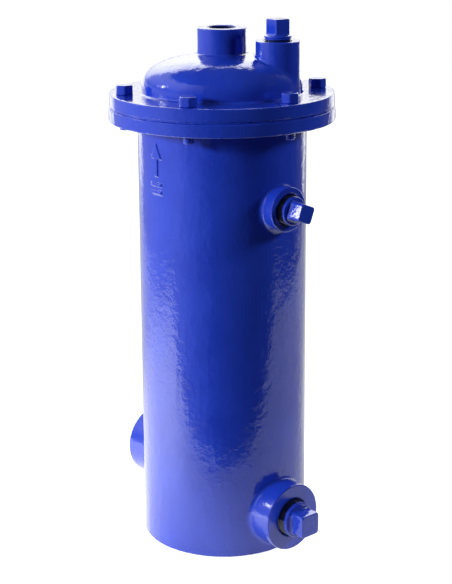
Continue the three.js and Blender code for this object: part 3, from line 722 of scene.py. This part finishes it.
def body_grid():
    faces = [-INLET_FACE, SIDE_FACE, DRAIN_FACE]
    near_faces = [(face - 2.4, face + 2.4, FINE_CELL) for face in faces]
    mark_across = (-MARK_HALF_WIDTH - 2, MARK_HALF_WIDTH + 2, FINE_CELL)
    across = grid_line(-INLET_FACE, BODY_FLANGE_RADIUS, BODY_CELL, [*near_faces, mark_across])
    deep = grid_line(-BODY_FLANGE_RADIUS, BODY_FLANGE_RADIUS, BODY_CELL)
    foot = (-2, 3, FINE_CELL)
    mark = (min(BAR_HEIGHTS) - 3.5, ARROW_TIP + 3, FINE_CELL)
    flange = (BODY_TOP - BODY_FLANGE_THICKNESS - 3, BODY_TOP + 2, FINE_CELL)
    tall = grid_line(0, BODY_TOP, BODY_CELL, [foot, mark, flange])
    return [across, deep, tall]


piece(
    "body_shell",
    surface("body_shell", body_field, body_grid(), BODY_CELL),
    "trap",
    casting_enamel,
    ["body_casting"],
)


def top_port_distance(p):
    return np.hypot(p[:, 0] - TOP_PORT[0], p[:, 1] - TOP_PORT[1])


def cover_outside(p):
    z = p[:, 2]
    radial = np.hypot(p[:, 0], p[:, 1])
    bottom, top = COVER_BOTTOM - 4, COVER_FLANGE_TOP
    flange = disc(radial, z, COVER_FLANGE_RADIUS, bottom, top, COVER_FLANGE_EDGE)
    flange = common(flange, COVER_BOTTOM - z, SEAM_EDGE)
    crown = np.maximum(dome(radial, z, DOME_RADIUS, DOME_RISE), COVER_BOTTOM + 2 - z)
    outlet = disc(radial, z, OUTLET_BOSS_RADIUS, DOME_SPRING, OUTLET_TOP, TOP_BOSS_EDGE)
    foot, port = COVER_BOTTOM + 3, top_port_distance(p)
    plug_boss = disc(port, z, TOP_PORT_BOSS_RADIUS, foot, TOP_PORT_TOP, TOP_BOSS_EDGE)
    outside = join(join(flange, crown, CROWN_FILLET), outlet, OUTLET_FILLET)
    return join(outside, plug_boss, PLUG_BOSS_FILLET)


def cover_passages(p):
    """Bores of the cover: outlet, plug, seat, the passage between them, and the screws."""
    x, y, z = p[:, 0], p[:, 1], p[:, 2]
    radial = np.hypot(x, y)
    port = top_port_distance(p)
    seat = np.hypot(x - SEAT_X, y)
    passage = np.hypot(y, z - PASSAGE_HEIGHT)
    wide_bottom = OUTLET_COUNTERBORE_BOTTOM
    bores = [
        disc(radial, z, OUTLET_THREAD_RADIUS + COUNTERBORE, wide_bottom, OUTLET_TOP + 20, BORE_EDGE),
        disc(radial, z, OUTLET_THREAD_RADIUS, OUTLET_BORE_BOTTOM, wide_bottom + 8, BORE_EDGE),
        disc(port, z, TOP_THREAD_RADIUS, TOP_PORT_TOP - TOP_PORT_DEPTH, TOP_PORT_TOP + 20, BORE_EDGE),
        disc(port, z, TOP_THREAD_RADIUS - TOP_PORT_STEP, LUMP_BOTTOM + 1, TOP_PORT_TOP, BORE_EDGE),
        disc(seat, z, SEAT_BORE_RADIUS, LUMP_BOTTOM - 14, PASSAGE_HEIGHT, BORE_EDGE),
        disc(passage, x, PASSAGE_RADIUS, SEAT_X - 2, 0, BORE_EDGE),
        screw_distance(p) - CLEARANCE_RADIUS,
    ]
    return np.min(bores, axis=0)


def cover_field(p):
    x, y, z = p[:, 0], p[:, 1], p[:, 2]
    radial = np.hypot(x, y)
    outside = cover_outside(p) + cast_skin(p, 2.3)
    hollow = dome(radial, z, DOME_RADIUS - DOME_WALL, DOME_RISE - DOME_WALL)
    lump = np.maximum(np.abs(x - LUMP_MIDDLE) - LUMP_HALF_LENGTH, np.abs(y) - LUMP_HALF_WIDTH)
    hollow = cut(hollow, np.maximum(lump, LUMP_BOTTOM - z), LUMP_FILLET)
    return cut(outside, np.minimum(hollow, cover_passages(p)), HOLE_EDGE)


def cover_grid():
    level = grid_line(-COVER_FLANGE_RADIUS, COVER_FLANGE_RADIUS, COVER_CELL)
    tops = [(top - 2, top + 2, FINE_CELL) for top in (COVER_FLANGE_TOP, TOP_PORT_TOP, OUTLET_TOP)]
    bottom = (COVER_BOTTOM - 2, COVER_BOTTOM + 3, FINE_CELL)
    return [level, level, grid_line(COVER_BOTTOM, OUTLET_TOP, COVER_CELL, [bottom, *tops])]


piece(
    "cover_shell",
    surface("cover_shell", cover_field, cover_grid(), COVER_CELL),
    "trap",
    casting_enamel,
    ["cover_casting"],
)


def seam_paint():
    """Paint in the flanges' seam: it bridges the gap on one side and has sunk in on the other."""
    low, high = BODY_TOP - 0.2, COVER_BOTTOM + 0.2
    shoulder = SEAM_OUTER_RADIUS - 0.4
    profile = [
        [SEAM_INNER_RADIUS, low],
        [SEAM_INNER_RADIUS, high],
        [shoulder, high],
        [SEAM_OUTER_RADIUS, (low + high) / 2],
        [shoulder, low],
    ]

    def wave(r, height, turns):
        place = turns - math.radians(SEAM_BRIDGE)
        bridge = 0.5 + 0.5 * np.tanh(3.0 * (np.cos(place) + 0.1 + 0.25 * np.sin(7 * place)))
        coarse = np.sin(29 * place + 3 * np.sin(5 * place))
        fine = np.sin(67 * place + 2 * np.sin(11 * place))
        beads = 0.16 * coarse * fine
        outer = r - 2.0 * (1 - bridge) + (beads - 0.1) * bridge
        return np.where(r > SEAM_INNER_RADIUS + 1, outer, r)

    return revolve("seam_paint", profile[::-1], 720, wave)


piece("seam_paint", seam_paint(), "trap", machined_enamel)

# ---------------------------------------------------------------------------------------------
# Pipe threads inside the two open ports.
# ---------------------------------------------------------------------------------------------

SLEEVE_WALL = 1.6
SLEEVE_INSET = 0.9
ROWS_PER_TURN = 9
OUTLET_THREAD_LENGTH = 27.0
INLET_THREAD_LENGTH = 17.6


def thread_sleeve(name, radius, depth, pitch):
    """A ring whose inside is a thread of that crest radius, from the face at zero down to -depth."""
    rows = int(depth / pitch * ROWS_PER_TURN)
    inner = [[radius, -depth * k / rows] for k in range(rows + 1)]
    outer = [[radius + SLEEVE_WALL, -depth], [radius + SLEEVE_WALL, 0.0]]

    def wave(r, height, turns):
        fade = np.clip((-height - 0.3) / (2 * pitch), 0, 1)
        cutting = 0.85 * thread_wave(turns, height, pitch) + 0.75 * np.clip(1 + height / 1.2, 0, 1)
        return np.where(r <= radius, r + np.maximum(cutting * np.maximum(fade, 0.6), 0), r)

    return revolve(name, [*inner, *outer], 96, wave)


def turned(axis, angle):
    return Matrix.Rotation(angle, 4, axis)


def towards(way):
    """Turns a piece made along Z so that it faces +X or -X."""
    return turned("Y", math.pi / 2 * way)


def at(x, y, z):
    return Matrix.Translation(Vector((x, y, z)) * MM)


outlet_place = at(0, 0, OUTLET_TOP - SLEEVE_INSET)
outlet_thread = thread_sleeve(
    "outlet_thread", OUTLET_THREAD_RADIUS, OUTLET_THREAD_LENGTH, PITCH_3_4_INCH
)
piece("outlet_thread", outlet_thread, "trap", bore_enamel_painted_shade, place=outlet_place)
inlet_place = at(-INLET_FACE + SLEEVE_INSET, 0, INLET_HEIGHT) @ towards(-1)
inlet_thread = thread_sleeve("inlet_thread", INLET_THREAD_RADIUS, INLET_THREAD_LENGTH, PITCH_1_INCH)
piece("inlet_thread", inlet_thread, "trap", bore_enamel_painted_shade, place=inlet_place)

# ---------------------------------------------------------------------------------------------
# Cover screws, plugs and gasket.
# ---------------------------------------------------------------------------------------------


def screw_field(p):
    """A hexagon-head screw on the Z axis under thick paint, which gathers round its foot."""
    x, y, z = p[:, 0], p[:, 1], p[:, 2]
    radial = np.hypot(x, y)
    foot = 0.7 * np.exp(-np.maximum(z - COVER_FLANGE_TOP, 0) / 0.7)
    side = prism(x, y, SCREW_FLATS / 2 - 0.1, 6, 26) - foot
    crown = disc(radial, z, 8.35, COVER_FLANGE_TOP - 0.3, SCREW_TOP, 1.8)
    head = common(side, crown, 0.7)
    head = np.maximum(head, COVER_FLANGE_TOP - 0.3 - z)
    groove = 0.22 * thread_wave(np.arctan2(y, x), z, SCREW_PITCH)
    shank = disc(radial + groove, z, SCREW_RADIUS, SCREW_END, COVER_FLANGE_TOP + 2, 1.0)
    return np.minimum(head, shank) + 0.02 * (1 + ripple(p, 5, 1.1))


SCREW_CELL = 0.55
SCREW_REACH = 8.7
screw_box = [-SCREW_REACH, -SCREW_REACH, SCREW_END], [SCREW_REACH, SCREW_REACH, SCREW_TOP]
screw_mesh = surface("cover_screw", screw_field, even_grid(*screw_box, SCREW_CELL), SCREW_CELL)
for k, (low, high) in enumerate(SCREWS):
    x, y = (low + high)[:2] / 2
    turn = math.radians(-11 * math.cos(2.8 * k))
    piece(
        f"cover_screw_head_{k + 1}",
        screw_mesh.copy(),
        "trap",
        machined_enamel,
        [f"cover_screw_{k + 1}"],
        at(x, y, 0) @ turned("Z", turn),
    )


# How far a square head's rounded corners reach, as a share of its width across flats.
CORNER_SHARE = 0.66


def plug_field(radius, flats, neck, head, depth, pitch, sharpness):
    """A square-head pipe plug on the Z axis whose port face is at zero."""

    def field(p):
        x, y, z = p[:, 0], p[:, 1], p[:, 2]
        radial = np.hypot(x, y)
        groove = 1.0 * thread_wave(np.arctan2(y, x), z, pitch) * np.clip((neck - 1.2 - z) / 1.0, 0, 1)
        shank = disc(radial + groove, z, radius, -depth, neck, 1.3)
        foot = 1.1 * np.exp(-np.maximum(z - neck, 0) / 1.0)
        square = prism(x, y, flats / 2 - 0.05, 4, sharpness) - foot
        top = disc(radial, z, flats * CORNER_SHARE, 0, neck + head, 1.6)
        square = common(np.maximum(square, -z), top, 0.8)
        return join(shank, square, 1.2) + 0.025 * (1 + ripple(p, 7, 0.4))

    return field


def plug(name, node, sizes, place, cell, painted_shade_to):
    paint = enamel(f"{node}_enamel", peel=0.45, runs=False, painted_shade_to=painted_shade_to)
    reach = max(sizes["radius"], sizes["flats"] * CORNER_SHARE) + 0.5
    top = sizes["neck"] + sizes["head"]
    grid = even_grid([-reach, -reach, -sizes["depth"]], [reach, reach, top], cell)
    mesh = surface(name, plug_field(**sizes), grid, cell)
    piece(name, mesh, node, paint, [node], place)


large = dict(flats=20.6, depth=16.0, pitch=PITCH_1_INCH)
small = dict(flats=15.9, depth=14.0, pitch=PITCH_3_4_INCH)
DRAIN_PLUG = dict(large, radius=16.6, neck=8.3, head=15.0, sharpness=44)
SIDE_PLUG = dict(small, radius=13.0, neck=7.5, head=15.0, sharpness=18)
TOP_PLUG = dict(small, radius=12.6, neck=4.6, head=14.5, sharpness=24)
drain_place = at(DRAIN_FACE, 0, DRAIN_HEIGHT) @ towards(1)
side_place = at(SIDE_FACE, 0, SIDE_HEIGHT) @ turned("X", math.radians(-22)) @ towards(1)
top_place = at(TOP_PORT[0], TOP_PORT[1], TOP_PORT_TOP) @ turned("Z", math.radians(-3))
# The last number is the height up to which each plug's thread carries painted shade.
plug("drain_plug_square", "drain_plug", DRAIN_PLUG, drain_place, cell=0.6, painted_shade_to=4.6)
plug("side_plug_square", "side_plug", SIDE_PLUG, side_place, cell=0.5, painted_shade_to=4.6)
plug("cover_plug_square", "cover_plug", TOP_PLUG, top_place, cell=0.5, painted_shade_to=1.4)


def gasket_ring():
    """The flat ring between the flanges, its outer edge slightly crowned."""
    inner, outer = CHAMBER_RADIUS + 1, gasket_high[0]
    low, high = gasket_low[2], gasket_high[2]
    middle = (low + high) / 2
    profile = [[inner, low], [inner, high], [outer - 0.2, high], [outer - 0.05, middle], [outer - 0.2, low]]
    return revolve("gasket_ring", profile[::-1], 180)


piece("gasket_ring", gasket_ring(), "trap", gasket_material, ["cover_gasket"])

# ---------------------------------------------------------------------------------------------
# The CAD pieces inside the trap keep their shapes and take finished materials.
# ---------------------------------------------------------------------------------------------

INNER_FINISHES = {
    ground_steel: ["valve_seat", "valve_head", "pivot_pin", "hook_pin"],
    stainless: [
        "lever", "lever_bracket", "bracket_screw_1", "bracket_screw_2", "pivot_clip_1", "pivot_clip_2",
        "valve_nut", "bucket", "bucket_hanger", "hanger_rivet_1", "hanger_rivet_2",
    ],
    pipe_material: ["inlet_nipple", "inlet_elbow", "riser_tube"],
}
for material, names in INNER_FINISHES.items():
    for name in names:
        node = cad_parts[name]
        node.data.materials.clear()
        node.data.materials.append(material)

# ---------------------------------------------------------------------------------------------
# Studio: a white board to stand on, a surround that is brightest behind the object, and lights.
# ---------------------------------------------------------------------------------------------

# Board, in metres from the object's axis as the viewer sees it.
BOARD_FRONT = 0.28
BOARD_BACK = 3.0
BOARD_RIGHT = 0.88
BOARD_LEFT = 0.86

# How the board glows for the object, though it is no lamp: painted light, even, with a brighter pool on the
# left, fading to the front and the right.
BOARD_GLOW = 0.28
POOL_GLOW = 1.4
POOL_AHEAD = 0.12
POOL_LEFT = 0.42
POOL_INNER_RADIUS = 0.1
POOL_OUTER_RADIUS = 0.55
FRONT_FADE_START = 0.04
FRONT_FADE_END = 0.27
FRONT_FADE_SLANT = 0.3
SIDE_FADE_START = 0.15
SIDE_FADE_END = 0.35
SIDE_FADE_SLANT = 0.17
FADED_SHARE = 0.3

# Surround: the light that the object sees from each side, level with it.
BACK_LIGHT = 1.6
BACK_EDGE_LIGHT = 1.5
LEFT_REAR_LIGHT = 0.36
LEFT_LIGHT = 0.48
LEFT_FRONT_LIGHT = 0.45
FRONT_LEFT_LIGHT = 0.18
FRONT_LIGHT = 0.02
FRONT_RIGHT_LIGHT = 0.01
RIGHT_REAR_LIGHT = 0.12
OVERHEAD_LIGHT = 0.03

# The surround's change with elevation: dimmer in a low band, brighter above it, dark on top. The
# elevations are in degrees, and the band's half width is a sine.
DIP_ELEVATION = 6.0
DIP_HALF_WIDTH = 0.07
DIP_SHARE = 0.4
UPPER_START = 12.0
UPPER_END = 30.0
UPPER_BRIGHTER = 1.8
OVERHEAD_START = 45.0
OVERHEAD_END = 48.0

LIGHT_AIM_HEIGHT = 0.25


def share_along(n, where, way):
    """The share of a direction in a place, as a node output."""
    return n.add("ShaderNodeVectorMath", {0: where, 1: way}, operation="DOT_PRODUCT").outputs[1]


def pale_board(name):
    """The studio's matt white board. It looks white itself, and its uneven glow, painted light, lights the
    object.
    """
    material, n, shader, where = new_material(name)
    tooth = n.noise(where, 900.0, 2.0)
    n.set(shader, "Base Color", n.mix(tooth, (0.45, 0.45, 0.45, 1.0), (0.49, 0.49, 0.49, 1.0)))
    shader.inputs["Roughness"].default_value = 0.9
    shader.inputs["Specular IOR Level"].default_value = 0.1
    shader.inputs["Emission Color"].default_value = (1.0, 1.0, 1.0, 1.0)
    forward, right = view_direction(), view_direction(90.0)
    ahead = share_along(n, where, forward)
    across = share_along(n, where, right)
    pool = forward * POOL_AHEAD - right * POOL_LEFT
    from_pool = n.add("ShaderNodeVectorMath", {0: where, 1: pool}, operation="DISTANCE").outputs[1]
    ahead_slant = n.math("ADD", ahead, n.math("MULTIPLY", across, FRONT_FADE_SLANT))
    front = n.spread(ahead_slant, FRONT_FADE_START, FRONT_FADE_END)
    across_slant = n.math("ADD", across, n.math("MULTIPLY", ahead, SIDE_FADE_SLANT))
    side = n.spread(across_slant, SIDE_FADE_START, SIDE_FADE_END)
    away = n.math("MAXIMUM", front, side)
    # Painted light: a glowing pool on the left of the board.
    painted_light_pool = n.spread(from_pool, POOL_OUTER_RADIUS, POOL_INNER_RADIUS, 0.0, POOL_GLOW)
    bright = n.math("ADD", painted_light_pool, BOARD_GLOW)
    glow = n.spread(away, 0.0, 1.0, bright, n.math("MULTIPLY", bright, FADED_SHARE))
    seen = n.add("ShaderNodeLightPath").outputs["Is Camera Ray"]
    n.set(shader, "Emission Strength", n.spread(seen, 0.0, 1.0, glow, 1.0))
    return material


def white_board():
    forward, right = view_direction(), view_direction(90.0)
    corners = [
        forward * BOARD_FRONT + right * BOARD_RIGHT,
        forward * -BOARD_BACK + right * BOARD_RIGHT,
        forward * -BOARD_BACK - right * BOARD_LEFT,
        forward * BOARD_FRONT - right * BOARD_LEFT,
    ]
    mesh = bpy.data.meshes.new("studio_board")
    mesh.from_pydata([(c.x, c.y, -0.0003) for c in corners], [], [(0, 1, 2, 3)])
    board = bpy.data.objects.new("studio_board", mesh)
    bpy.context.collection.objects.link(board)
    board.data.materials.append(pale_board("pale_board"))


def soft_light(name, turn, elevation, distance, size, power, mirrored=True):
    """A square soft box that faces the middle of the object, and may be kept out of reflections."""
    data = bpy.data.lights.new(name, "AREA")
    data.shape = "SQUARE"
    data.size = size
    data.energy = power
    light = bpy.data.objects.new(name, data)
    rise = math.radians(elevation)
    aim = Vector((0.0, 0.0, LIGHT_AIM_HEIGHT))
    away = view_direction(turn) * math.cos(rise) + Vector((0.0, 0.0, math.sin(rise)))
    light.location = aim + away * distance
    light.rotation_euler = away.to_track_quat("Z", "Y").to_euler()
    light.visible_glossy = mirrored
    bpy.context.collection.objects.link(light)


# The surround's light by degrees to the viewer's right of the camera's direction.
AROUND = [
    (-180, BACK_LIGHT),
    (-146, BACK_EDGE_LIGHT),
    (-139, LEFT_REAR_LIGHT),
    (-100, LEFT_LIGHT),
    (-62, LEFT_FRONT_LIGHT),
    (-42, FRONT_LEFT_LIGHT),
    (-15, FRONT_LIGHT),
    (60, FRONT_RIGHT_LIGHT),
    (110, FRONT_LIGHT),
    (138, RIGHT_REAR_LIGHT),
    (146, BACK_EDGE_LIGHT),
    (180, BACK_LIGHT),
]


def sine(degrees):
    return math.sin(math.radians(degrees))


def set_stops(ramp, stops):
    while len(ramp.elements) > 1:
        ramp.elements.remove(ramp.elements[-1])
    for k, (degrees, level) in enumerate(stops):
        place = (degrees + 180) / 360
        stop = ramp.elements[0] if k == 0 else ramp.elements.new(place)
        stop.position = place
        stop.color = (level, level, level, 1.0)


def surround():
    """White to the camera. For the object: bright behind, fair on the left and dim elsewhere."""
    world = bpy.data.worlds.new("studio")
    bpy.context.scene.world = world
    world.use_nodes = True
    world.node_tree.nodes.clear()
    n = Nodes(world.node_tree)
    way = n.add("ShaderNodeTexCoord").outputs["Generated"]
    front, right = view_direction(), view_direction(90.0)
    toward = share_along(n, way, front)
    sideways = share_along(n, way, right)
    up = n.add("ShaderNodeSeparateXYZ", {0: way}).outputs[2]
    azimuth = n.math("ARCTAN2", sideways, toward)
    share = n.spread(azimuth, -math.pi, math.pi)
    ramp = n.add("ShaderNodeValToRGB", {0: share})
    set_stops(ramp.color_ramp, AROUND)
    rise = n.spread(up, sine(UPPER_START), sine(UPPER_END), 1.0, UPPER_BRIGHTER)
    from_dip = n.math("ABSOLUTE", n.math("SUBTRACT", up, sine(DIP_ELEVATION)))
    rise = n.math("MULTIPLY", rise, n.spread(from_dip, 0.0, DIP_HALF_WIDTH, DIP_SHARE, 1.0))
    lit = n.add("ShaderNodeVectorMath", {0: ramp.outputs[0], 3: rise}, operation="SCALE").outputs[0]
    high = n.spread(up, sine(OVERHEAD_START), sine(OVERHEAD_END))
    ring = n.mix(high, lit, (OVERHEAD_LIGHT, OVERHEAD_LIGHT, OVERHEAD_LIGHT * 1.04, 1.0))
    seen = n.add("ShaderNodeLightPath").outputs["Is Camera Ray"]
    colour = n.mix(seen, ring, (1.0, 1.0, 1.0, 1.0))
    level = n.add("ShaderNodeBackground", {"Color": colour, "Strength": 1.0})
    out = n.add("ShaderNodeOutputWorld")
    n.tree.links.new(level.outputs[0], out.inputs[0])


white_board()
soft_light("key_light", turn=-66, elevation=20, distance=1.9, size=0.35, power=33, mirrored=False)
soft_light("glint_light", turn=-93.5, elevation=20.6, distance=1.66, size=0.20, power=1.3)
soft_light("fill_light", turn=88, elevation=28, distance=2.2, size=0.5, power=22, mirrored=False)
surround()
bpy.context.scene.view_settings.view_transform = "Standard"
